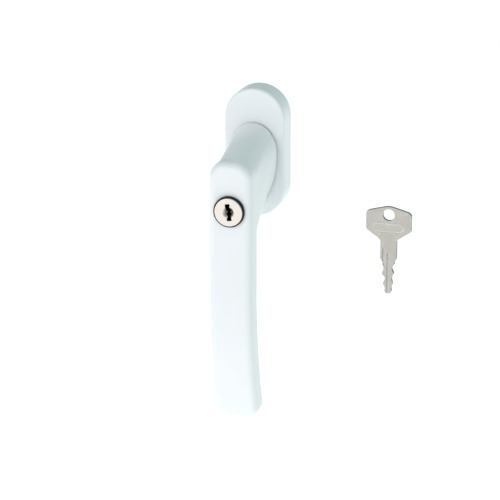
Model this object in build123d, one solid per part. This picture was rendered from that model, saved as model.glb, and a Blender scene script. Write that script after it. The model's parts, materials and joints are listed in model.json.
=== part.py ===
from build123d import *
from math import cos, pi, sin, sqrt
import os

# Keyed window handle and its key, in millimetres.
# X is to the right as seen from the room, Z is up, and -Y points into the room.
# The origin is on the spindle's axis, in the plane where the handle meets the window.
# Depths are measured from that plane towards the room, so a depth is -Y.

# rosette
rosette_width = 30.4
rosette_height = 65.0
rosette_depth = 12.5
rosette_edge = 1.2
cover_wall = 1.6
cover_hole_radius = 10.55

# base plate
plate_gap = 0.3
plate_thickness = 4.0
screw_spacing = 43.0
screw_radius = 2.5
screw_neck_radius = 2.1
screw_thread_start = -3.0
screw_length = 25.0
screw_hole_radius = 2.65
screw_head_radius = 4.7
lug_radius = 5.0
lug_length = 2.6
collar_radius = 10.2
collar_end = 18.5
notch_width = 5.4
notch_start = 14.4

# journal and bearing
journal_radius = 7.2
journal_start = 0.6
bush_inner_radius = 7.25
bush_outer_radius = 8.0
bush_start = 3.0
washer_recess_radius = 9.6
washer_thickness = 0.5
washer_front = 2.6
circlip_thickness = 0.7
circlip_front = 2.05

# detents
ball_radius = 1.6
ball_travel = 0.5
ball_depth = 7.0
ball_bore_radius = 1.65
dimple_radius = 1.75
pocket_height = 6.0
pocket_front = 9.2

# neck
neck_start = 13.3
neck_pocket_radius = 10.55
neck_pocket_end = 18.8
neck_base_half_width = 12.0
neck_base_centre = 0.9
neck_base_upper = 14.9
neck_base_lower = 26.4
neck_end = 50.0

# grip
grip_width = 21.5
grip_thickness = 12.8
grip_centre_depth = 47.8
grip_top = 6.4
grip_bottom = -128.2
grip_bend_start = -60.0
grip_bend_radius = 190.0
grip_edge = 3.6
grip_top_corner = 8.6
grip_tip_corner = 6.6

# spindle
spindle_size = 7.0
spindle_back = -32.0
spindle_front = 13.6
spindle_point = 1.0
spindle_travel = 10.0
socket_size = 7.1
socket_end = 26.4
stop_pin_radius = 0.8
stop_pin_depth = 11.0
stop_slot_floor = 2.3
spindle_spring_radius = 2.5

# lock
lock_z = -17.5
lock_lean = 8.0
lock_start = 35.0
housing_front = 52.1
housing_radius = 7.0
lock_bore_radius = 7.05
plug_radius = 5.5
plug_bore_radius = 5.55
plug_back = 33.6
face_radius = 6.95
face_back = 52.2
face_front = 56.3
keyway_height = 8.4
keyway_width = 2.4
mouth_radius = 2.75
mouth_floor_radius = 1.35
mouth_depth = 1.5
ring_inner_radius = 7.03
ring_outer_radius = 7.62
ring_bore_radius = 7.67
ring_back = 49.0
ring_front = 55.9

# wafers
wafer_count = 6
wafer_pitch = 2.6
first_wafer_depth = 50.0
wafer_thickness = 1.0
wafer_width = 5.0
wafer_height = 9.7
wafer_travel = 1.0
wafer_clearance = 0.1

# locking bolt
crank_throw = 2.5
crank_pin_radius = 1.25
crank_disc_radius = 4.4
crank_back = 28.4
crank_disc_back = 31.9
yoke_back = 28.6
yoke_front = 31.2
yoke_half_width = 5.2
bolt_half_width = 2.5
bolt_top = -11.9
bolt_bottom = -14.6
bolt_tip_depth = 14.7
bolt_travel = 2 * crank_throw * sin(pi / 4)

# key
key_x = 65.8
key_top = -25.0
key_thickness = 2.2
key_head_thickness = 1.8
key_length = 45.1
groove_depth = 0.5
key_head_half_width = 11.45
key_blade_half_width = 4.0
key_hole_radius = 2.95
key_hole_drop = 4.3
key_shoulder_drop = 26.8
key_badge_drop = 10.6
key_badge_width = 15.7
key_badge_height = 4.3
key_badge_rim = 0.5
key_badge_sink = 0.12
first_cut_drop = 29.2
cut_pitch = 2.62
key_cuts = [(2.95, 3.25), (2.2, 2.0), (2.95, 2.8), (1.45, 1.95), (2.2, 2.3), (1.4, 1.75)]


def slab(sketch, start, stop):
    """A sketch drawn as seen from the room, made solid between two depths."""
    return extrude(Plane.XZ.offset(start) * sketch, amount=stop - start)


def stadium(width, height):
    middle = Rectangle(width, height - width)
    rise = (height - width) / 2
    return middle + Pos(0, rise) * Circle(width / 2) + Pos(0, -rise) * Circle(width / 2)


def ring(outer, inner):
    return Circle(outer) - Circle(inner)


def cone_slab(radius_start, radius_stop, start, stop, z):
    """A cone along the depth, with its two radii given at the two depths."""
    back = Plane.XZ.offset(start) * Pos(0, z) * Circle(radius_start)
    front = Plane.XZ.offset(stop) * Pos(0, z) * Circle(radius_stop)
    return loft([back, front])


def split_ring(outer, inner, gap_width):
    """A circlip: a ring with a gap at the top and two small eyes beside it."""
    eye_reach = (outer + inner) / 2
    clip = ring(outer, inner)
    for side in (-1, 1):
        clip = clip + Pos(side * (gap_width / 2 + 0.75), eye_reach) * Circle(0.95)
    clip = clip - Circle(inner)
    clip = clip - Pos(0, eye_reach) * Rectangle(gap_width, outer)
    for side in (-1, 1):
        clip = clip - Pos(side * (gap_width / 2 + 0.75), eye_reach + 0.1) * Circle(0.35)
    return clip


def coil(wire, radius, length, turns):
    """A coil spring, of wire with the given section, that starts at the origin and runs along +Z."""
    path = Helix(pitch=length / turns, height=length, radius=radius)
    section = Plane(origin=path @ 0, z_dir=path % 0) * wire
    return sweep(section, path=path)


def lock_place(shape):
    """A sketch of the lock, drawn upright about its own axis, at its place and lean."""
    return Pos(0, lock_z) * Rot(0, 0, lock_lean) * shape


# fixed parts


def base_plate():
    inner_width = rosette_width - 2 * cover_wall
    inner_height = rosette_height - 2 * cover_wall
    width = inner_width - 2 * plate_gap
    height = inner_height - 2 * plate_gap
    plate = slab(stadium(width, height), 0, plate_thickness)
    plate += slab(Circle(collar_radius), plate_thickness, collar_end)
    plate += slab(Rectangle(width, pocket_height), plate_thickness, pocket_front)
    for side in (-1, 1):
        snap = Pos(side * (width / 2 - 0.2), 0) * Rectangle(2 * (plate_gap + 0.2), 1.2)
        for rise in (-9.0, 9.0):
            plate += slab(Pos(0, rise) * snap, 1.0, 3.0)
        lug = Pos(0, side * screw_spacing / 2) * Circle(lug_radius)
        plate += slab(lug, -lug_length, 0)
    for side in (-1, 1):
        z = side * screw_spacing / 2
        hole = Pos(0, z) * Circle(screw_hole_radius)
        plate -= slab(hole, -lug_length - 1, plate_thickness + 1)
        sink = screw_head_radius + 0.1
        drop = sink - screw_hole_radius
        plate -= cone_slab(screw_hole_radius, sink, plate_thickness - drop, plate_thickness, z)
    plate -= slab(Circle(bush_outer_radius), -1, collar_end + 1)
    plate -= slab(Circle(washer_recess_radius), -1, washer_front)
    ball_bore = Rot(0, 90, 0) * Cylinder(ball_bore_radius, rosette_width)
    plate -= Pos(0, -ball_depth, 0) * ball_bore
    reach = (collar_radius + bush_outer_radius) / 2
    for x, z, turn in ((0, -reach, 0), (-reach, 0, 90), (0, reach, 0)):
        notch = Pos(x, z) * Rot(0, 0, turn) * Rectangle(notch_width, 3.6)
        plate -= slab(notch, notch_start, collar_end + 1)
    return plate


def rosette_cover():
    shell = slab(stadium(rosette_width, rosette_height), 0, rosette_depth)
    front = shell.faces().sort_by(Axis.Y)[0]
    shell = fillet(front.outer_wire().edges(), rosette_edge)
    width = rosette_width - 2 * cover_wall
    height = rosette_height - 2 * cover_wall
    hollow = slab(stadium(width, height), -1, rosette_depth - cover_wall)
    inner = hollow.faces().sort_by(Axis.Y)[0]
    hollow = fillet(inner.outer_wire().edges(), 0.8)
    shell = shell - hollow
    shell -= slab(Circle(cover_hole_radius), 0, rosette_depth + 1)
    return shell


def fixing_screw(z):
    front = plate_thickness - 0.02
    drop = screw_head_radius - screw_neck_radius
    tip = front - screw_length
    thread = slab(Pos(0, z) * Circle(screw_radius), tip + 0.8, screw_thread_start)
    neck = slab(Pos(0, z) * Circle(screw_neck_radius), screw_thread_start, front - drop)
    point = cone_slab(screw_radius - 0.7, screw_radius, tip, tip + 0.8, z)
    head = cone_slab(screw_neck_radius, screw_head_radius, front - drop, front, z)
    screw = thread + neck + point + head
    recess = Rectangle(4.6, 0.95) + Rectangle(0.95, 4.6)
    screw -= slab(Pos(0, z) * recess, front - 1.6, front + 1)
    return screw


def fixing_screws():
    places = (screw_spacing / 2, -screw_spacing / 2)
    return Compound(children=[fixing_screw(z) for z in places])


def bearing_bush():
    bush = slab(ring(bush_outer_radius, bush_inner_radius), bush_start, collar_end)
    ball_bore = Rot(0, 90, 0) * Cylinder(ball_bore_radius, rosette_width)
    return bush - Pos(0, -ball_depth, 0) * ball_bore


def thrust_washer():
    section = ring(washer_recess_radius - 0.1, journal_radius + 0.1)
    return slab(section, washer_front - washer_thickness, washer_front)


def ball_centre():
    return journal_radius + ball_radius + 0.02


def detent_ball(side):
    return Pos(side * ball_centre(), -ball_depth, 0) * Sphere(ball_radius)


def detent_springs():
    start = ball_centre() + ball_radius
    length = (rosette_width / 2 - cover_wall - 0.3) - start
    springs = []
    for turn, side in ((90, 1), (-90, -1)):
        spring = Rot(0, turn, 0) * coil(Circle(0.18), 1.1, length - 0.4, 4)
        springs.append(Pos(side * (start + 0.2), -ball_depth, 0) * spring)
    return Compound(children=springs)


# handle


def polar_egg(direction, half_width, upper, lower):
    """Distance from the centre to an outline with a short upper and a long lower half."""
    half_height = upper if sin(direction) >= 0 else lower
    return 1 / sqrt((cos(direction) / half_width) ** 2 + (sin(direction) / half_height) ** 2)


def polar_stadium(direction, radius, half_straight):
    """Distance from the centre to an upright stadium."""
    if abs(cos(direction)) > 1e-9:
        to_side = radius / abs(cos(direction))
        if to_side * abs(sin(direction)) <= half_straight:
            return to_side
    rise = half_straight * abs(sin(direction))
    return rise + sqrt(radius**2 - (half_straight * cos(direction)) ** 2)


def neck_section(depth):
    """The neck's outline at one depth: an egg at the rosette that turns into a stadium."""
    along = (depth - neck_start) / (neck_end - neck_start)
    blend = min(1.0, along * 1.12) ** 1.2
    base_top = neck_base_centre + neck_base_upper
    base_bottom = neck_base_centre - neck_base_lower
    top = base_top + (6.0 - base_top) * along
    bottom = base_bottom - 11.5 * along - 11.0 * along**6
    half_width = neck_base_half_width + (grip_width / 2 - 0.25 - neck_base_half_width) * along
    stadium_centre = (top + bottom) / 2
    centre = neck_base_centre * (1 - blend) + stadium_centre * blend
    points = []
    steps = 36
    for step in range(steps):
        direction = 2 * pi * step / steps
        egg = polar_egg(direction, half_width, top - centre, centre - bottom)
        straight = (top - bottom) / 2 - half_width
        box = polar_stadium(direction, half_width, straight)
        shift = stadium_centre - centre
        reach = egg * (1 - blend) + box * blend
        x = reach * cos(direction)
        z = centre + reach * sin(direction) + shift * blend
        points.append((x, z))
    outline = Spline(*points, periodic=True)
    return Plane.XZ.offset(depth) * make_face(outline)


def neck():
    depths = [neck_start, 18.0, 25.0, 32.0, 38.0, 43.0, neck_end]
    body = loft([neck_section(depth) for depth in depths])
    rim = body.faces().sort_by(Axis.Y)[-1].outer_wire().edges()
    return fillet(rim, 0.6)


def grip():
    height = grip_top - grip_bottom
    outline = Pos(0, grip_top - height / 2) * Rectangle(grip_width, height)
    outline = fillet(outline.vertices().sort_by(Axis.Y)[:2], grip_tip_corner)
    outline = fillet(outline.vertices().sort_by(Axis.Y)[-2:], grip_top_corner)
    front_depth = grip_centre_depth + grip_thickness / 2
    back_depth = grip_centre_depth - grip_thickness / 2
    centre = (grip_bend_radius - grip_centre_depth, grip_bend_start)
    outer = grip_bend_radius + grip_thickness / 2
    inner = grip_bend_radius - grip_thickness / 2
    roof = grip_top + 4.0
    sweep_angle = 24.0
    front_arc = CenterArc(centre, outer, 180, sweep_angle)
    back_arc = CenterArc(centre, inner, 180, sweep_angle)
    front_line = Line((-front_depth, roof), (-front_depth, grip_bend_start))
    back_line = Line((-back_depth, roof), (-back_depth, grip_bend_start))
    roof_line = Line((-front_depth, roof), (-back_depth, roof))
    floor_line = Line(front_arc @ 1, back_arc @ 1)
    profile = make_face([front_line, front_arc, floor_line, back_arc, back_line, roof_line])
    side = extrude(Plane.YZ * profile, amount=grip_width, both=True)
    body = slab(outline, 20.0, 70.0) & side
    wide = grip_width - 0.5
    rims = [edge for edge in body.edges() if edge_is_rim(edge, wide)]
    return fillet(rims, grip_edge)


def edge_is_rim(edge, wide):
    """True for the edges of the grip's front and back, not for seams across or between."""
    box = edge.bounding_box()
    across = box.size.X > wide and box.size.Z < 0.01
    through = box.size.Y > 8.0 and box.size.Z < 0.01 and box.size.X < 0.01
    return not across and not through


def journal():
    body = slab(Circle(journal_radius), journal_start, neck_pocket_end + 1)
    groove = ring(journal_radius + 1, journal_radius - 0.7)
    body -= slab(groove, circlip_front - circlip_thickness - 0.05, circlip_front + 0.05)
    reach = ball_centre() - ball_travel
    for x, z in ((reach, 0), (-reach, 0), (0, reach), (0, -reach)):
        body -= Pos(x, -ball_depth, z) * Sphere(dimple_radius)
    return body


def handle_grip():
    body = grip() + neck()
    pocket = ring(neck_pocket_radius, journal_radius)
    body -= slab(pocket, neck_start - 1, neck_pocket_end)
    body += journal()
    body -= slab(Rectangle(socket_size, socket_size), journal_start - 1, socket_end)
    pin_hole = Cylinder(stop_pin_radius, 6.0, align=(Align.CENTER, Align.CENTER, Align.MIN))
    body -= Pos(0, -stop_pin_depth, 3.0) * pin_hole
    low = bolt_bottom - 0.3
    high = bolt_top + bolt_travel + 0.3
    arm_way = Pos(0, (low + high) / 2) * Rectangle(2 * bolt_half_width + 0.3, high - low)
    body -= slab(arm_way, bolt_tip_depth - 0.6, yoke_front)
    yoke_low = yoke_bottom() - 0.4
    yoke_way = Pos(0, (yoke_low + high) / 2) * Rectangle(2 * yoke_half_width + 0.3, high - yoke_low)
    body -= slab(yoke_way, crank_back - 0.2, crank_disc_back)
    body -= slab(Pos(0, lock_z) * Circle(lock_bore_radius), yoke_front + 0.1, 60)
    body -= slab(Pos(0, lock_z) * Circle(ring_bore_radius), ring_back, 60)
    screw_way = Cylinder(1.5, 20.0, align=(Align.CENTER, Align.CENTER, Align.MAX))
    body -= Pos(0, -set_screw_depth(), lock_z - 6.0) * screw_way
    return body


def journal_circlip():
    clip = split_ring(journal_radius + 1.5, journal_radius - 0.65, 2.4)
    return slab(clip, circlip_front - circlip_thickness, circlip_front)


def spindle():
    square = Rectangle(spindle_size, spindle_size)
    section = chamfer(square.vertices(), 0.35)
    bar = slab(section, spindle_back + spindle_point, spindle_front)
    point_end = Plane.XZ.offset(spindle_back) * scale(section, by=0.8)
    bar += loft([point_end, Plane.XZ.offset(spindle_back + spindle_point) * section])
    slot_start = stop_pin_depth - spindle_travel - stop_pin_radius - 0.1
    slot_stop = stop_pin_depth + stop_pin_radius + 0.1
    middle = (slot_start + slot_stop) / 2
    slot = Box(2 * stop_pin_radius + 0.2, slot_stop - slot_start, 4.0)
    return bar - Pos(0, -middle, stop_slot_floor + 2.0) * slot


def spindle_stop_pin():
    length = journal_radius - 0.05 - stop_slot_floor - 0.2
    pin = Cylinder(stop_pin_radius, length, align=(Align.CENTER, Align.CENTER, Align.MIN))
    return Pos(0, -stop_pin_depth, stop_slot_floor + 0.2) * pin


def spindle_spring():
    length = socket_end - spindle_front - 0.9
    spring = Rot(90, 0, 0) * coil(Circle(0.35), spindle_spring_radius, length, 7)
    return Pos(0, -spindle_front - 0.45, 0) * spring


# lock


def housing_channels():
    """Room for sprung wafers, at the keyway's place and a quarter turn from it."""
    reach = wafer_height / 2 + wafer_travel + 0.2
    upright = Rectangle(wafer_width + 0.3, 2 * reach)
    return upright + Rectangle(2 * reach, wafer_width + 0.3)


def cylinder_housing():
    body = slab(lock_place(ring(housing_radius, plug_bore_radius)), lock_start, housing_front)
    start = first_wafer_depth - (wafer_count - 1) * wafer_pitch - 0.8
    body -= slab(lock_place(housing_channels()), start, first_wafer_depth + 0.8)
    dimple = Cylinder(1.2, 1.6, align=(Align.CENTER, Align.CENTER, Align.MAX))
    return body - Pos(0, -set_screw_depth(), lock_z - housing_radius + 0.35) * dimple


def set_screw_depth():
    return lock_start + 1.7


def housing_set_screw():
    top = lock_z - housing_radius + 0.3
    body = Cylinder(1.45, 5.6, align=(Align.CENTER, Align.CENTER, Align.MAX))
    tip = Pos(0, 0, -0.45) * body + Cone(1.45, 0.9, 0.45, align=(Align.CENTER, Align.CENTER, Align.MAX))
    socket = extrude(RegularPolygon(0.8, 6), amount=2.0)
    screw = tip - Pos(0, 0, -6.1) * socket
    return Pos(0, -set_screw_depth(), top) * screw


def cylinder_ring():
    section = lock_place(ring(ring_outer_radius, ring_inner_radius))
    body = slab(section, ring_back, ring_front)
    outer_front = body.faces().sort_by(Axis.Y)[0].outer_wire().edges()
    return fillet(outer_front, 0.3)


def keyway():
    slot = RectangleRounded(keyway_width, keyway_height, 0.25)
    ward = Rectangle(0.45, 0.95)
    left = Pos(-keyway_width / 2 + 0.2, 0) * ward
    right = Pos(keyway_width / 2 - 0.2, 0) * ward
    upper = Pos(keyway_width / 2 - 0.2, key_blade_half_width - 1.75) * ward
    lower = Pos(-keyway_width / 2 + 0.2, -key_blade_half_width + 1.75) * ward
    return slot - left - right - upper - lower


def lock_plug():
    body = slab(lock_place(Circle(plug_radius)), plug_back, face_back)
    body += slab(lock_place(Circle(face_radius)), face_back, face_front)
    rim = body.faces().sort_by(Axis.Y)[0].outer_wire().edges()
    body = fillet(rim, 0.35)
    body -= slab(lock_place(keyway()), lock_start + 0.6, face_front + 1)
    mouth_floor = face_front - mouth_depth
    body -= cone_slab(mouth_floor_radius, mouth_radius, mouth_floor, face_front, lock_z)
    for depth in wafer_depths():
        half = wafer_thickness / 2 + 0.05
        way = Rectangle(wafer_width + 0.2, 2 * plug_radius + 1)
        body -= slab(lock_place(way), depth - half, depth + half)
    groove = ring(plug_radius + 1, plug_radius - 0.8)
    body -= slab(lock_place(groove), plug_clip_back() - 0.05, plug_clip_back() + 0.6)
    return body


def wafer_depths():
    return [first_wafer_depth - wafer_pitch * index for index in range(wafer_count)]


def plug_clip_back():
    return lock_start - 0.85


def plug_circlip():
    clip = split_ring(plug_radius + 1.0, plug_radius - 0.75, 1.6)
    return slab(lock_place(clip), plug_clip_back(), plug_clip_back() + 0.55)


def wafer(index):
    """A plate with a window. Odd ones are sprung up and even ones down."""
    left, right = key_cuts[index]
    outline = RectangleRounded(wafer_width, wafer_height, 0.5)
    spare = wafer_travel + wafer_clearance
    if index % 2 == 0:
        low = -left - 0.03
        high = max(right, 2.9) + spare
    else:
        low = -max(left, 2.9) - spare
        high = right + 0.03
    window = Pos(0, (low + high) / 2) * RectangleRounded(keyway_width + 0.3, high - low, 0.3)
    spring_notch = Pos(wafer_width / 2, 0) * Rectangle(1.6, 4.2)
    plate = outline - window - spring_notch
    depth = wafer_depths()[index]
    half = wafer_thickness / 2
    return slab(lock_place(plate), depth - half, depth + half)


def wafer_springs():
    """Tiny coils of eight-sided wire, one in each wafer's notch."""
    springs = []
    turn = Rot(0, -lock_lean, 0)
    for depth in wafer_depths():
        spring = Pos(wafer_width / 2 - 0.37, 0, -1.7) * coil(RegularPolygon(0.1, 8), 0.27, 3.4, 7)
        springs.append(Pos(0, -depth, lock_z) * turn * spring)
    return Compound(children=springs)


# locking bolt and crank


def crank_pin_place():
    return crank_throw * cos(pi / 4), lock_z - crank_throw * sin(pi / 4)


def plug_crank():
    disc = slab(Pos(0, lock_z) * Circle(crank_disc_radius), crank_disc_back, plug_back)
    x, z = crank_pin_place()
    return disc + slab(Pos(x, z) * Circle(crank_pin_radius), crank_back, crank_disc_back)


def yoke_bottom():
    return crank_pin_place()[1] - crank_pin_radius - 1.9


def locking_bolt():
    low = yoke_bottom()
    yoke = Pos(0, (low + bolt_top) / 2) * Rectangle(2 * yoke_half_width, bolt_top - low)
    body = slab(fillet(yoke.vertices(), 0.8), yoke_back, yoke_front)
    arm = Pos(0, (bolt_bottom + bolt_top) / 2) * Rectangle(2 * bolt_half_width, bolt_top - bolt_bottom)
    body += slab(arm, bolt_tip_depth, yoke_front)
    x, z = crank_pin_place()
    left = x - crank_pin_radius - 0.2
    right = crank_throw + crank_pin_radius + 0.2
    slot = Rectangle(right - left, 2 * crank_pin_radius + 0.24)
    slot = fillet(slot.vertices(), crank_pin_radius + 0.1)
    return body - slab(Pos((left + right) / 2, z) * slot, yoke_back - 1, yoke_front + 1)


# key


def key_head():
    shoulder = key_head_half_width - 1.55
    side = key_head_half_width
    outline = Polyline(
        (0, 0.35), (shoulder, -2.3), (side, -3.4), (side, -12.2), (key_blade_half_width, -17.3),
        (-key_blade_half_width, -17.3), (-side, -12.2), (-side, -3.4), (-shoulder, -2.3), (0, 0.35))
    face = make_face(outline)
    by_height = face.vertices().sort_by(Axis.Y)
    face = fillet(by_height[-1], 9.0)
    corners = [v for v in face.vertices() if abs(abs(v.X) - side) < 0.01]
    face = fillet(corners, 1.6)
    return face


def key_blade():
    """The blade's outline: a full-width shank, a shoulder, six cuts each side and a tip."""
    half = key_blade_half_width
    right = [(half + 0.2, -16.0), (half + 0.2, -key_shoulder_drop), (half - 0.25, -key_shoulder_drop - 0.4)]
    left = [(-half, -16.0), (-half, -key_shoulder_drop), (-half + 0.45, -key_shoulder_drop - 0.5)]
    for index, (cut_left, cut_right) in enumerate(key_cuts):
        drop = first_cut_drop + cut_pitch * index
        for shift in (-0.45, 0.45):
            right.append((cut_right, -drop - shift))
            left.append((-cut_left, -drop - shift))
    tip_right = [(1.95, -key_length + 1.5), (1.5, -key_length + 0.5), (0.5, -key_length)]
    tip_left = [(-1.65, -key_length + 1.5), (-1.1, -key_length + 0.5), (-0.3, -key_length)]
    points = right + tip_right + tip_left[::-1] + left[::-1]
    face = make_face(Polyline(*points, close=True))
    return fillet([v for v in face.vertices() if v.Y < -key_shoulder_drop - 1], 0.16)


def key_badge(inset):
    """The raised pad across the head, or the sunk field inside its rim."""
    width = key_badge_width - 2 * inset
    height = key_badge_height - 2 * inset
    return Pos(0, -key_badge_drop) * RectangleRounded(width, height, height / 2 - 0.01)


def key():
    head_back = (key_thickness - key_head_thickness) / 2
    head = slab(key_head(), head_back, head_back + key_head_thickness)
    rims = [e for e in head.edges() if e.bounding_box().size.Y < 0.01]
    head = chamfer(rims, 0.3)
    step = Polyline((-4.3, -13.5), (4.3, -13.5), (5.5, -16.0), (4.1, -17.5), (-4.1, -17.5),
                    (-5.5, -16.0), (-4.3, -13.5))
    body = head + slab(make_face(step), 0, key_thickness)
    body += slab(key_blade(), 0, key_thickness)
    for back, front in ((0.0, head_back), (key_thickness - head_back, key_thickness)):
        body += slab(key_badge(0), back, front)
    field = key_badge(key_badge_rim)
    body -= slab(field, -1, key_badge_sink)
    body -= slab(field, key_thickness - key_badge_sink, key_thickness + 1)
    hole = Pos(0, -key_hole_drop)
    body -= slab(hole * Circle(key_hole_radius), -1, key_thickness + 1)
    grooves = key_grooves()
    body -= grooves
    body -= Pos(0, -key_thickness, 0) * Rot(0, 0, 180) * grooves
    return Pos(key_x, 0, key_top) * body


def key_grooves():
    """The front's grooves: a long one down the middle and a short one beside it."""
    long_slot = Pos(0, -34.6) * RectangleRounded(1.15, 22.6, 0.5)
    short_slot = Pos(-2.25, -25.8) * RectangleRounded(1.5, 9.0, 0.7)
    return slab(long_slot + short_slot, key_thickness - groove_depth, key_thickness + 1)


def save(name, shape):
    shape.label = name
    export_step(shape, f"parts/{name}.step")


def main():
    os.makedirs("parts", exist_ok=True)
    save("base_plate", base_plate())
    save("rosette_cover", rosette_cover())
    save("fixing_screws", fixing_screws())
    save("bearing_bush", bearing_bush())
    save("thrust_washer", thrust_washer())
    save("detent_springs", detent_springs())
    save("detent_ball_left", detent_ball(-1))
    save("detent_ball_right", detent_ball(1))
    save("handle_grip", handle_grip())
    save("journal_circlip", journal_circlip())
    save("spindle", spindle())
    save("spindle_stop_pin", spindle_stop_pin())
    save("spindle_spring", spindle_spring())
    save("cylinder_housing", cylinder_housing())
    save("cylinder_ring", cylinder_ring())
    save("housing_set_screw", housing_set_screw())
    save("lock_plug", lock_plug())
    save("plug_circlip", plug_circlip())
    save("plug_crank", plug_crank())
    for index in range(wafer_count):
        save(f"wafer_{index + 1}", wafer(index))
    save("wafer_springs", wafer_springs())
    save("locking_bolt", locking_bolt())
    save("key", key())


main()
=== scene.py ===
import json
from math import cos, pi, radians, sin

import bmesh
import bpy
from mathutils import Matrix, Vector


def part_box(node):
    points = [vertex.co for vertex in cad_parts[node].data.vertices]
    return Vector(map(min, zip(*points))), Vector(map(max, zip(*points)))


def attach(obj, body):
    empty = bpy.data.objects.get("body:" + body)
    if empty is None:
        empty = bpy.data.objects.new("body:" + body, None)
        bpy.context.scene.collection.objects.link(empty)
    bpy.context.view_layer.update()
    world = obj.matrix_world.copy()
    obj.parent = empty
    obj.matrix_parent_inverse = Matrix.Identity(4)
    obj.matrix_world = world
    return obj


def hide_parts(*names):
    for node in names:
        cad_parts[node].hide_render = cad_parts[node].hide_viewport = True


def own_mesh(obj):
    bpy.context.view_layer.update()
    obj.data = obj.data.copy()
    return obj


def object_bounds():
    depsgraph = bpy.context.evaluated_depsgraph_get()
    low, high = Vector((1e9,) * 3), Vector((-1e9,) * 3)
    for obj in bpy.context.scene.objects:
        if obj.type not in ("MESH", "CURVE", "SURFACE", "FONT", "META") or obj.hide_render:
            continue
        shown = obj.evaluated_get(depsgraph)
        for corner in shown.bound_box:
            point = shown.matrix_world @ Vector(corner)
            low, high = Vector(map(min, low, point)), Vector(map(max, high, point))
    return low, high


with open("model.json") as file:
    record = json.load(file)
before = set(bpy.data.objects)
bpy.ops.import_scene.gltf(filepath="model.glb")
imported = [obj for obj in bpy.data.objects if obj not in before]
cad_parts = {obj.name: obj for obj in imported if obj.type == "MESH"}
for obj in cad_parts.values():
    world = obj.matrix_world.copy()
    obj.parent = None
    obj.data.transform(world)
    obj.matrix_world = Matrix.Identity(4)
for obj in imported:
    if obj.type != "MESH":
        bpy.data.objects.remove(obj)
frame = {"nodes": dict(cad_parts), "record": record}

cad_box = [list(corner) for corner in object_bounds()]

# Everything is in metres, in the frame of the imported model: X right, Z up, -Y into the room.
mm = 0.001

# camera
camera_azimuth = radians(16.4)
camera_elevation = radians(18.3)
camera_distance = 1.15
frame_width = 0.2475
origin_right_of_centre = 5.5 * mm
origin_above_centre = 51.3 * mm
sensor_width = 36.0
nearest_seen = 0.05
farthest_seen = 200.0

# studio: each lamp's name, place, size, power and tint
floor_drop = 0.55
floor_reach = 40.0
floor_squares = 8
floor_glow = 0.66
air_tint = (0.80, 0.99, 0.98)
air_strength = 0.46
lamp_aim = (0.0, -0.02, -0.05)
lamps = (
    ("front_left_softbox", (-0.7, -1.3, 0.35), 0.9, 5.7, (1.0, 0.84, 0.89)),
    ("overhead_softbox", (0.1, -0.2, 1.4), 1.2, 1.8, (0.78, 1.0, 0.99)),
    ("back_fill", (0.6, 1.4, 0.5), 1.2, 0.6, (1.0, 1.0, 1.0)),
)

# lock
lock_low, lock_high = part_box("lock_plug")
lock_centre_x = (lock_low[0] + lock_high[0]) / 2
lock_centre_z = (lock_low[2] + lock_high[2]) / 2
lock_lean = radians(8.0)
mouth_shade_start = lock_low[1] + 0.1 * mm
mouth_shade_end = lock_low[1] + 1.9 * mm

# rosette screws, with distances along the screw counted from the head's face
screw_low, screw_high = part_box("fixing_screws")
screw_length = screw_high[1] - screw_low[1]
screw_sides = 32
head_radius = (screw_high[0] - screw_low[0]) / 2
head_chamfer = 0.12 * mm
neck_radius = 2.1 * mm
thread_start = 3.0 * mm - screw_low[1]
thread_pitch = 0.8 * mm
thread_step = thread_pitch / 8
thread_root = 2.05 * mm
thread_crest = 2.5 * mm
root_share = 0.12
flank_share = 0.72
tip_length = 0.8 * mm
tip_radius = 1.8 * mm
tip_chamfer = 0.15 * mm
tip_chamfer_radius = 1.9 * mm

# cross recess of the screws, and how wide it is at each distance from the head's face
recess_wing = 2.3 * mm
recess_web = 0.5 * mm
recess_stations = ((-0.5 * mm, 1.0), (0.2 * mm, 1.0), (1.6 * mm, 0.62))

# coil springs
coil_turns = 7
coil_steps = 24
wire_sides = 10
spindle_wire = 0.35 * mm
wafer_wire = 0.1 * mm
wafer_coil_radius = 0.27 * mm
wafer_coil_across = 2.13 * mm
wafer_coil_length = 3.4 * mm

# worn edges of the key
key_edge_radius = 0.1 * mm
weld_distance = 0.002 * mm
flat_angle = radians(2)
edge_angle = radians(28)
crease_angle = radians(50)

# sockets of a Mix node that mixes colours
mix_factor, mix_first, mix_second, mix_colour = 0, 6, 7, 2


class Value:
    """A node socket that takes part in arithmetic. Each operation adds a Math node."""

    def __init__(self, finish, socket):
        self.finish = finish
        self.socket = socket

    def math(self, operation, first, second):
        return self.finish.node("ShaderNodeMath", {"operation": operation}, {0: first, 1: second})

    def __add__(self, other):
        return self.math("ADD", self, other)

    def __radd__(self, other):
        return self.math("ADD", other, self)

    def __sub__(self, other):
        return self.math("SUBTRACT", self, other)

    def __rsub__(self, other):
        return self.math("SUBTRACT", other, self)

    def __mul__(self, other):
        return self.math("MULTIPLY", self, other)

    def __rmul__(self, other):
        return self.math("MULTIPLY", other, self)


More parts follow.
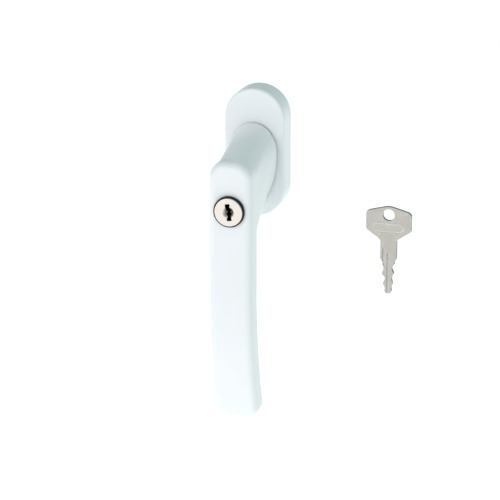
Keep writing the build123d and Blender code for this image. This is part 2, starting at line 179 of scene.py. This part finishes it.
class Finish:
    """A material with one principled shader, and the nodes that feed it."""

    def __init__(self, name, fixed):
        self.material = bpy.data.materials.new(name)
        self.material.use_nodes = True
        self.tree = self.material.node_tree
        self.shader = self.tree.nodes["Principled BSDF"]
        for socket, value in fixed.items():
            self.shader.inputs[socket].default_value = value

    def node(self, kind, settings, inputs, output=0):
        """Adds a node: its settings first, then the values or links of its sockets."""
        node = self.tree.nodes.new(kind)
        for name, value in settings.items():
            setattr(node, name, value)
        for key, value in inputs.items():
            if isinstance(value, Value):
                self.tree.links.new(value.socket, node.inputs[key])
            else:
                node.inputs[key].default_value = value
        return Value(self, node.outputs[output])

    def vector_math(self, operation, first, second, output=0):
        inputs = {0: first, 1: second}
        return self.node("ShaderNodeVectorMath", {"operation": operation}, inputs, output)

    def feed(self, **links):
        """Links values to the shader's sockets."""
        for name, value in links.items():
            socket = self.shader.inputs[name.replace("_", " ").title()]
            self.tree.links.new(value.socket, socket)

    def place(self):
        """The place of each point in the frame."""
        return self.node("ShaderNodeTexCoord", {}, {}, "Object")

    def along_depth(self, vector):
        """A vector's part along the depth."""
        return self.node("ShaderNodeSeparateXYZ", {}, {0: vector}, "Y")

    def noise(self, size, detail=2.0, roughness=0.5):
        """Noise from 0 to 1 whose features are about size metres across."""
        return self.noise_at(self.place(), 1 / size, detail, roughness)

    def streaks(self, scale, detail, roughness=0.5):
        """Noise from 0 to 1 with its own scale, in features per metre, along each axis."""
        place = self.vector_math("MULTIPLY", self.place(), scale)
        return self.noise_at(place, 1.0, detail, roughness)

    def noise_at(self, vector, scale, detail, roughness):
        inputs = {"Vector": vector, "Scale": scale, "Detail": detail, "Roughness": roughness}
        return self.node("ShaderNodeTexNoise", {}, inputs, "Fac")

    def blend(self, factor, first, second):
        """A colour between two colours, each of them fixed or a value."""
        colours = [c if isinstance(c, Value) else (*c, 1.0) for c in (first, second)]
        inputs = {mix_factor: factor, mix_first: colours[0], mix_second: colours[1]}
        return self.node("ShaderNodeMix", {"data_type": "RGBA"}, inputs, mix_colour)

    def spread(self, factor, low, high):
        """Maps a 0 to 1 value onto low to high."""
        return factor * (high - low) + low

    def sharpen(self, value, low, high):
        """Rises smoothly from 0 at low to 1 at high."""
        settings = {"interpolation_type": "SMOOTHSTEP"}
        inputs = {"Value": value, "From Min": low, "From Max": high, "To Min": 0.0, "To Max": 1.0}
        return self.node("ShaderNodeMapRange", settings, inputs)

    def edges(self, reach):
        """1 at an edge, falling to 0 at reach metres from it."""
        rounded = self.node("ShaderNodeBevel", {"samples": 6}, {"Radius": reach})
        plain = self.node("ShaderNodeNewGeometry", {}, {}, "Normal")
        match = self.vector_math("DOT_PRODUCT", rounded, plain, "Value")
        return self.sharpen(1 - match, 0.004, 0.09)

    def crevice_shade(self, reach):
        """1 deep in a joint narrower than reach, 0 on open surfaces, from occlusion; it masks
        painted shade.
        """
        inputs = {"Distance": reach}
        open_sky = self.node("ShaderNodeAmbientOcclusion", {"samples": 8}, inputs, "AO")
        return self.sharpen(1 - open_sky, 0.5, 0.85)

    def sideways(self):
        """0 on surfaces that face along the depth, 1 on flanks that face across it."""
        depth = self.along_depth(self.node("ShaderNodeTexCoord", {}, {}, "Normal"))
        return 1 - self.node("ShaderNodeMath", {"operation": "ABSOLUTE"}, {0: depth})

    def bump(self, height, distance, strength):
        inputs = {"Strength": strength, "Distance": distance, "Height": height}
        return self.node("ShaderNodeBump", {}, inputs)


def powder_coat(name):
    """White semi-gloss powder coat with a faint orange peel, and painted shade in its joints."""
    white = (0.915, 0.92, 0.935)
    faded = tuple(channel * 0.99 for channel in white)
    painted_joint_shade = (0.16, 0.17, 0.17)
    fixed = {"IOR": 1.5, "Specular IOR Level": 0.3, "Coat Roughness": 0.12}
    finish = Finish(name, fixed)
    shade = finish.noise(18 * mm, 3.0)
    coat = finish.blend(finish.sharpen(shade, 0.35, 0.65), faded, white)
    # The coat darkens towards painted shade where its joints are occluded.
    finish.feed(base_color=finish.blend(finish.crevice_shade(1.6 * mm), coat, painted_joint_shade))
    peel = finish.noise(1.1 * mm, 2.0)
    speck = finish.noise(0.22 * mm, 1.0)
    finish.feed(roughness=finish.spread(speck * 0.4 + shade * 0.6, 0.27, 0.37))
    finish.feed(coat_weight=finish.spread(shade, 0.06, 0.14))
    finish.feed(normal=finish.bump(peel * 0.8 + speck * 0.2, 0.012 * mm, 0.6))
    return finish.material


def turned_nickel():
    """Warm pale nickel of the lock face: fine rings from turning, and painted shade deeper in the
    mouth.
    """
    dull, bright = (0.75, 0.67, 0.62), (0.85, 0.77, 0.72)
    painted_mouth_shade = (0.05, 0.042, 0.035)
    ring_pitch = 0.16 * mm
    finish = Finish("turned_nickel", {"Metallic": 1.0})
    to_centre = (-lock_centre_x, 0.0, -lock_centre_z)
    moved = finish.vector_math("ADD", finish.place(), to_centre)
    flat = finish.vector_math("MULTIPLY", moved, (1, 0, 1))
    reach = finish.node("ShaderNodeVectorMath", {"operation": "LENGTH"}, {0: flat}, "Value")
    wobble = finish.noise(3 * mm, 2.0)
    turns = reach * (2 * pi / ring_pitch) + wobble * 3
    rings = finish.node("ShaderNodeMath", {"operation": "SINE"}, {0: turns})
    speck = finish.noise(0.35 * mm, 3.0)
    depth = finish.along_depth(finish.place())
    # Deeper in the key's mouth the colour darkens into painted shade.
    inside = finish.sharpen(depth, mouth_shade_start, mouth_shade_end)
    face = finish.blend(speck, dull, bright)
    finish.feed(base_color=finish.blend(inside, face, painted_mouth_shade))
    finish.feed(roughness=finish.spread(wobble * 0.5 + speck * 0.5, 0.30, 0.48))
    finish.feed(normal=finish.bump(rings * 0.5 + speck, 0.004 * mm, 0.5))
    return finish.material


def tumbled_nickel():
    """Satin nickel plate of the key: painted shade on the flanks, bright worn edges and small
    scratches.
    """
    dull, bright = (0.36, 0.335, 0.31), (0.68, 0.625, 0.58)
    painted_flank_shade = (0.13, 0.125, 0.115)
    worn_bright = (0.84, 0.82, 0.78)
    finish = Finish("tumbled_nickel", {"Metallic": 1.0})
    cloud = finish.noise(6 * mm, 3.0)
    grain = finish.noise(0.3 * mm, 3.0, 0.65)
    scratches = finish.streaks((260.0, 260.0, 2600.0), 2.0)
    worn = finish.edges(0.3 * mm)
    face = finish.blend(grain * 0.5 + cloud * 0.5, dull, bright)
    flanks = finish.sharpen(finish.sideways(), 0.75, 0.98)
    # Flanks that face across the depth darken into painted shade.
    tone = finish.blend(flanks, face, painted_flank_shade)
    finish.feed(base_color=finish.blend(worn * (1 - flanks * 0.7), tone, worn_bright))
    finish.feed(roughness=finish.spread(grain * 0.6 + cloud * 0.4, 0.32, 0.52) - worn * 0.12)
    finish.feed(normal=finish.bump(grain * 0.7 + scratches * 0.3, 0.02 * mm, 0.45))
    return finish.material


def moulded_black():
    """Black moulded plastic with a fine sheen."""
    black, lighter = (0.003, 0.003, 0.003), (0.009, 0.009, 0.010)
    finish = Finish("moulded_black", {"IOR": 1.46, "Specular IOR Level": 0.22})
    speck = finish.noise(0.25 * mm, 2.0)
    finish.feed(base_color=finish.blend(speck, black, lighter))
    finish.feed(roughness=finish.spread(speck, 0.28, 0.45))
    finish.feed(normal=finish.bump(speck, 0.01 * mm, 0.4))
    return finish.material


def natural_acetal():
    """Milky acetal of the bush."""
    dull, milky = (0.72, 0.72, 0.69), (0.80, 0.80, 0.78)
    finish = Finish("natural_acetal", {"Subsurface Weight": 0.15})
    cloud = finish.noise(3 * mm, 2.0)
    finish.feed(base_color=finish.blend(cloud, dull, milky))
    finish.feed(roughness=finish.spread(cloud, 0.42, 0.56))
    finish.feed(normal=finish.bump(finish.noise(0.4 * mm), 0.01 * mm, 0.3))
    return finish.material


def cast_zinc():
    """Zinc die casting: dull grey, with flow marks and rubbed edges."""
    dull, bright, rubbed = (0.38, 0.39, 0.40), (0.52, 0.53, 0.54), (0.68, 0.68, 0.69)
    finish = Finish("cast_zinc", {"Metallic": 0.85})
    flow = finish.streaks((420.0, 420.0, 120.0), 3.0, 0.6)
    grain = finish.noise(0.4 * mm, 2.0)
    tone = finish.blend(flow, dull, bright)
    finish.feed(base_color=finish.blend(finish.edges(0.4 * mm), tone, rubbed))
    finish.feed(roughness=finish.spread(flow * 0.5 + grain * 0.5, 0.38, 0.62))
    finish.feed(normal=finish.bump(grain, 0.03 * mm, 0.5))
    return finish.material


def plain_metal(name, dark, light, smooth, rough, grain_size):
    """Machined or drawn metal: two tones of one colour and a fine grain."""
    finish = Finish(name, {"Metallic": 1.0})
    grain = finish.noise(grain_size, 3.0, 0.6)
    cloud = finish.noise(grain_size * 12, 2.0)
    finish.feed(base_color=finish.blend(grain * 0.4 + cloud * 0.6, dark, light))
    finish.feed(roughness=finish.spread(grain * 0.5 + cloud * 0.5, smooth, rough))
    finish.feed(normal=finish.bump(grain, 0.01 * mm, 0.4))
    return finish.material


def zinc_plate():
    dark, light = (0.60, 0.62, 0.64), (0.76, 0.77, 0.78)
    return plain_metal("zinc_plate", dark, light, 0.22, 0.38, 0.4 * mm)


def spring_steel():
    dark, light = (0.36, 0.36, 0.37), (0.52, 0.52, 0.53)
    return plain_metal("spring_steel", dark, light, 0.2, 0.34, 0.2 * mm)


def blackened_steel():
    dark, light = (0.05, 0.05, 0.055), (0.12, 0.12, 0.125)
    return plain_metal("blackened_steel", dark, light, 0.3, 0.5, 0.3 * mm)


def machined_brass():
    dark, light = (0.30, 0.22, 0.10), (0.46, 0.35, 0.18)
    return plain_metal("machined_brass", dark, light, 0.34, 0.5, 0.25 * mm)


def pale_floor():
    """Pale, even floor with the slightest mottling."""
    glow = {"Emission Color": (1.0, 1.0, 1.0, 1.0), "Emission Strength": floor_glow}
    finish = Finish("pale_floor", {"Specular IOR Level": 0.1, **glow})
    cloud = finish.noise(0.4, 2.0)
    finish.feed(base_color=finish.blend(cloud, (0.96, 0.96, 0.96), (0.98, 0.98, 0.98)))
    finish.feed(roughness=finish.spread(cloud, 0.85, 0.95))
    return finish.material


def slot_finishes():
    """One material for each of the record's slots."""
    return {
        "white_lacquer": powder_coat("grip_powder_coat"),
        "white_cover": powder_coat("cover_powder_coat"),
        "nickel": turned_nickel(),
        "key_nickel": tumbled_nickel(),
        "black_plastic": moulded_black(),
        "zinc": cast_zinc(),
        "zinc_plated_steel": zinc_plate(),
        "spring_steel": spring_steel(),
        "dark_steel": blackened_steel(),
        "brass": machined_brass(),
        "bush_plastic": natural_acetal(),
    }


def dress_nodes():
    """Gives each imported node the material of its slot."""
    slots = {part["node"]: part["material_slot"] for part in frame["record"]["subparts"]}
    for name, node in frame["nodes"].items():
        for slot in node.material_slots:
            slot.material = materials[slots[name]]


def link_object(name, data):
    """Adds an object to the scene."""
    thing = bpy.data.objects.new(name, data)
    bpy.context.scene.collection.objects.link(thing)
    return thing


def add_piece(name, mesh, body, slot, node_name):
    """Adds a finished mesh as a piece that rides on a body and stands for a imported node."""
    mesh.name = name
    mesh.materials.clear()
    mesh.materials.append(materials[slot])
    piece = link_object(name, mesh)
    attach(piece, body)
    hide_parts(node_name)
    return piece


def smooth_but_for(mesh, angle):
    """Shades a mesh smooth except where its faces meet at more than an angle."""
    mesh.shade_smooth()
    mesh.set_sharp_from_angle(angle=angle)


def with_modifier(mesh, kind, settings):
    """The mesh that a modifier makes of a mesh."""
    carrier = link_object("carrier", mesh)
    modifier = carrier.modifiers.new(kind.lower(), kind)
    for name, value in settings.items():
        setattr(modifier, name, value)
    graph = bpy.context.evaluated_depsgraph_get()
    result = bpy.data.meshes.new_from_object(carrier.evaluated_get(graph))
    bpy.data.objects.remove(carrier)
    return result


def skin(builder, loops):
    """Joins rings of corners into a closed skin with flat ends."""
    for loop, after in zip(loops, loops[1:]):
        for side in range(len(loop)):
            following = (side + 1) % len(loop)
            builder.faces.new((loop[side], loop[following], after[following], after[side]))
    builder.faces.new(loops[0][::-1])
    builder.faces.new(loops[-1])


def mesh_of(builder, name):
    """Turns a builder into a mesh."""
    mesh = bpy.data.meshes.new(name)
    builder.to_mesh(mesh)
    builder.free()
    return mesh


def closed_mesh(builder, name):
    """Turns a builder of closed skins into a mesh whose faces look outwards."""
    bmesh.ops.recalc_face_normals(builder, faces=builder.faces)
    return mesh_of(builder, name)


def thread_radius(along, turn):
    """Radius of the thread's surface at a distance from its start and at a part of a turn."""
    wave = abs(2 * ((along / thread_pitch - turn) % 1.0) - 1)
    crest = min(1.0, max(0.0, (wave - root_share) / flank_share))
    return thread_root + (thread_crest - thread_root) * crest


def thread_rings():
    """The thread's rings, which swell from the neck over the first turn."""
    rings = []
    steps = round((screw_length - thread_start - tip_length) / thread_step)
    for step in range(1, steps + 1):
        along = step * thread_step
        swell = min(1.0, along / thread_pitch)
        radii = [thread_radius(along, side / screw_sides) for side in range(screw_sides)]
        radii = [neck_radius + (radius - neck_radius) * swell for radius in radii]
        rings.append((thread_start + along, radii))
    return rings


def screw_rings():
    """Distance from the head's face, and the radius at each part of a turn, head to tip."""
    head_and_neck = (
        (0.0, head_radius - head_chamfer),
        (head_chamfer, head_radius),
        (head_radius - neck_radius, neck_radius),
        (thread_start, neck_radius),
    )
    tip = ((screw_length - tip_chamfer, tip_chamfer_radius), (screw_length, tip_radius))
    start = [(along, [radius] * screw_sides) for along, radius in head_and_neck]
    end = [(along, [radius] * screw_sides) for along, radius in tip]
    return start + thread_rings() + end


def add_screw(builder, centre):
    """Adds one screw, head towards the room, as a closed skin."""
    loops = []
    for along, radii in screw_rings():
        loop = []
        for side, radius in enumerate(radii):
            angle = 2 * pi * side / screw_sides
            spot = Vector((radius * cos(angle), along, radius * sin(angle)))
            loop.append(builder.verts.new(centre + spot))
        loops.append(loop)
    skin(builder, loops)


def recess_cutter(centres):
    """Cross-shaped tapered plugs that cut the drivers' recesses."""
    wing, web = recess_wing, recess_web
    corners = [(wing, web), (web, web), (web, wing), (-web, wing), (-web, web), (-wing, web)]
    corners += [(-x, -z) for x, z in corners]
    builder = bmesh.new()
    for centre in centres:
        loops = []
        for along, width in recess_stations:
            spots = [centre + Vector((x * width, along, z * width)) for x, z in corners]
            loops.append([builder.verts.new(spot) for spot in spots])
        skin(builder, loops)
    return closed_mesh(builder, "recess_cutter")


def threaded_screws():
    """The two rosette screws with real threads and cross recesses."""
    height = screw_high[2] - head_radius
    centres = [Vector((0, screw_low[1], side * height)) for side in (1, -1)]
    builder = bmesh.new()
    for centre in centres:
        add_screw(builder, centre)
    blank = closed_mesh(builder, "threaded_screws")
    cutter = link_object("recess_cutter", recess_cutter(centres))
    settings = {"operation": "DIFFERENCE", "solver": "EXACT", "object": cutter}
    cut = with_modifier(blank, "BOOLEAN", settings)
    bpy.data.objects.remove(cutter)
    smooth_but_for(cut, radians(30))
    add_piece("threaded_screws", cut, "base", "zinc_plated_steel", "fixing_screws")


def tumbled_key():
    """The key, with its crisp edges worn round."""
    node = frame["nodes"]["key"]
    builder = bmesh.new()
    builder.from_mesh(node.data)
    builder.transform(node.matrix_world)
    bmesh.ops.remove_doubles(builder, verts=builder.verts, dist=weld_distance)
    bmesh.ops.dissolve_limit(
        builder, angle_limit=flat_angle, verts=builder.verts, edges=builder.edges
    )
    crisp = mesh_of(builder, "tumbled_key")
    bevel = {"width": key_edge_radius, "segments": 2}
    worn = with_modifier(
        crisp, "BEVEL", {**bevel, "limit_method": "ANGLE", "angle_limit": edge_angle}
    )
    smooth_but_for(worn, crease_angle)
    worn = with_modifier(worn, "WEIGHTED_NORMAL", {"keep_sharp": True, "weight": 100})
    add_piece("tumbled_key", worn, "key", "key_nickel", "key")


def add_coil(builder, place, wire, radius, length):
    """Adds one coil spring. place carries its foot and its axis, +Z, into the frame."""
    loops = []
    for step in range(coil_turns * coil_steps + 1):
        turn = 2 * pi * step / coil_steps
        rise = length * step / (coil_turns * coil_steps)
        loop = []
        for side in range(wire_sides):
            angle = 2 * pi * side / wire_sides
            reach = radius + wire * cos(angle)
            spot = Vector((reach * cos(turn), reach * sin(turn), rise + wire * sin(angle)))
            loop.append(builder.verts.new(place @ spot))
        loops.append(loop)
    skin(builder, loops)


def add_coil_piece(name, builder, body, node_name):
    """Adds a coil, or a row of them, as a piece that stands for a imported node."""
    mesh = closed_mesh(builder, name)
    smooth_but_for(mesh, radians(60))
    return add_piece(name, mesh, body, "spring_steel", node_name)


def spindle_coil():
    """The spring behind the spindle, built at the length of its node; the real spring shortens as
    the spindle slides in.
    """
    low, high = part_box("spindle_spring")
    span = high[1] - low[1]
    radius = (high[0] - low[0]) / 2 - spindle_wire
    foot = Matrix.Translation((0, high[1] - spindle_wire, 0))
    builder = bmesh.new()
    into_socket = Matrix.Rotation(pi / 2, 4, "X")
    add_coil(builder, foot @ into_socket, spindle_wire, radius, span - 2 * spindle_wire)
    piece = add_coil_piece("spindle_coil", builder, "handle", "spindle_spring")
    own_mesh(piece)


def wafer_coils(name, wafers):
    """The coils of every second wafer, built at one length; the real coils shorten as those
    wafers slide.
    """
    lean = Matrix.Rotation(-lock_lean, 4, "Y")
    foot = Matrix.Translation((wafer_coil_across, 0, -wafer_coil_length / 2))
    builder = bmesh.new()
    for index in wafers:
        low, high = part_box(f"wafer_{index}")
        centre = (lock_centre_x, (low[1] + high[1]) / 2, lock_centre_z)
        place = Matrix.Translation(centre) @ lean @ foot
        add_coil(builder, place, wafer_wire, wafer_coil_radius, wafer_coil_length)
    piece = add_coil_piece(name, builder, "plug", "wafer_springs")
    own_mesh(piece)


def soft_light(name, place, size, power, tint):
    """Adds a round lamp that looks at the object."""
    light = bpy.data.lights.new(name, "AREA")
    light.shape = "DISK"
    light.size = size
    light.energy = power
    light.color = tint
    lamp = link_object(name, light)
    lamp.location = place
    lamp.rotation_euler = (Vector(lamp_aim) - lamp.location).to_track_quat("-Z", "Y").to_euler()


def studio():
    """Pale floor, pale air and soft lamps."""
    builder = bmesh.new()
    bmesh.ops.create_grid(
        builder, x_segments=floor_squares, y_segments=floor_squares, size=floor_reach
    )
    floor = link_object("studio_floor", mesh_of(builder, "studio_floor"))
    floor.location = (0, 0, cad_box[0][2] - floor_drop)
    floor.data.materials.append(pale_floor())
    world = bpy.data.worlds.new("studio_air")
    world.use_nodes = True
    air = world.node_tree.nodes["Background"]
    air.inputs["Color"].default_value = (*air_tint, 1.0)
    air.inputs["Strength"].default_value = air_strength
    bpy.context.scene.world = world
    for lamp in lamps:
        soft_light(*lamp)


def camera():
    """Looks at the front, from a little to the right and above."""
    azimuth, elevation = camera_azimuth, camera_elevation
    level = cos(elevation)
    toward = Vector((sin(azimuth) * level, -cos(azimuth) * level, sin(elevation)))
    right = Vector((cos(azimuth), sin(azimuth), 0.0))
    up = toward.cross(right)
    target = -right * origin_right_of_centre - up * origin_above_centre
    lens = bpy.data.cameras.new("front_camera")
    lens.sensor_width = sensor_width
    lens.lens = sensor_width * camera_distance / frame_width
    lens.clip_start = nearest_seen
    lens.clip_end = farthest_seen
    eye = link_object("front_camera", lens)
    eye.location = target + toward * camera_distance
    eye.rotation_euler = (-toward).to_track_quat("-Z", "Y").to_euler()
    bpy.context.scene.camera = eye


materials = slot_finishes()
dress_nodes()
threaded_screws()
tumbled_key()
spindle_coil()
wafer_coils("rising_wafer_coils", (1, 3, 5))
wafer_coils("falling_wafer_coils", (2, 4, 6))
studio()
camera()
bpy.context.scene.view_settings.view_transform = "Standard"
